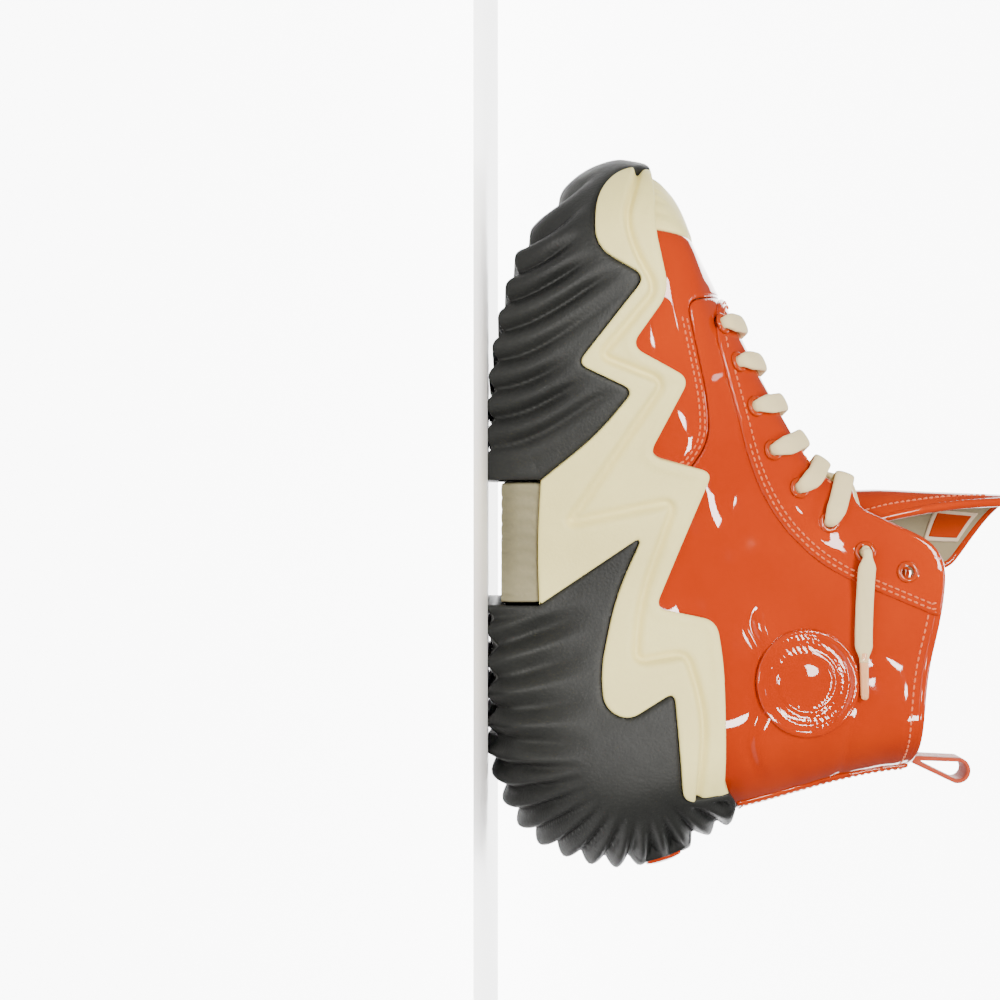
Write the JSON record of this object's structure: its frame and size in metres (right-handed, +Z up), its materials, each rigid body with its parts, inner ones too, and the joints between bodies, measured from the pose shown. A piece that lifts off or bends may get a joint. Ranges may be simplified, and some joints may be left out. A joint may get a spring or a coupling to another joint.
{
  "type": "basketball high top",
  "caption": "Platform basketball high top for the right foot: glossy patent upper, wave-cut cream sidewall, ridged black treads, flat cream laces, open tongue and heel pull loop.",
  "frame": {"origin": "on the ground, under the middle of the heel tread, on the shoe's long centre plane", "axes": "+X to the toe, +Y to the inner (medial) side, +Z up"},
  "size_m": [0.2995, 0.1111, 0.222],
  "materials": {
    "black_rubber": "matte moulded",
    "grey_rubber": "matte ribbed",
    "cream_foam": "matte moulded",
    "orange_patent": "glossy patent",
    "fibreboard": "raw",
    "canvas": "woven",
    "padding": "soft",
    "label": "woven",
    "cotton": "flat woven",
    "aglet_plastic": "smooth",
    "webbing": "woven",
    "eyelet_metal": "gloss"
  },
  "bodies": {
    "root": {"outsole_forefoot": "black_rubber", "outsole_heel": "black_rubber", "heel_plate": "orange_patent", "shank": "grey_rubber", "midsole": "cream_foam", "lasting_board": "fibreboard", "toe_cap": "cream_foam", "vamp": "orange_patent", "quarter_medial": "orange_patent", "quarter_lateral": "orange_patent", "eyestay_medial": "orange_patent", "eyestay_lateral": "orange_patent", "heel_strip": "orange_patent", "ankle_badge": "orange_patent", "toe_puff": "fibreboard", "heel_counter": "fibreboard", "collar_pad": "padding", "lining": "canvas", "tongue": "orange_patent", "lace": "cotton", "lace_end_medial": "cotton", "lace_end_lateral": "cotton", "aglet_medial": "aglet_plastic", "aglet_lateral": "aglet_plastic", "eyelet_medial_1": "eyelet_metal", "eyelet_medial_2": "eyelet_metal", "eyelet_medial_3": "eyelet_metal", "eyelet_medial_4": "eyelet_metal", "eyelet_medial_5": "eyelet_metal", "eyelet_medial_6": "eyelet_metal", "eyelet_medial_7": "eyelet_metal", "eyelet_medial_8": "eyelet_metal", "eyelet_lateral_1": "eyelet_metal", "eyelet_lateral_2": "eyelet_metal", "eyelet_lateral_3": "eyelet_metal", "eyelet_lateral_4": "eyelet_metal", "eyelet_lateral_5": "eyelet_metal", "eyelet_lateral_6": "eyelet_metal", "eyelet_lateral_7": "eyelet_metal", "eyelet_lateral_8": "eyelet_metal"},
    "insole": {"insole": "canvas"},
    "tongue_flap": {"tongue_flap": "orange_patent", "tongue_label": "label"},
    "pull_loop": {"pull_loop": "webbing"}
  },
  "joints": [
    {"name": "tongue_fold", "type": "hinge", "parent": "root", "child": "tongue_flap", "pos_m": [0.0918, 0, 0.1584], "axis": [0, 1, 0], "range_deg": [-12, 35], "stiffness_Nm_per_rad": 0.1},
    {"name": "pull_loop_swing", "type": "hinge", "parent": "root", "child": "pull_loop", "pos_m": [-0.025, 0, 0.1809], "axis": [0, 1, 0], "range_deg": [-50, 50], "stiffness_Nm_per_rad": 0.02},
    {"name": "insole_lift", "type": "hinge", "parent": "root", "child": "insole", "pos_m": [0.2118, 0.004, 0.0505], "axis": [0, 1, 0], "range_deg": [0, 8]}
  ]
}
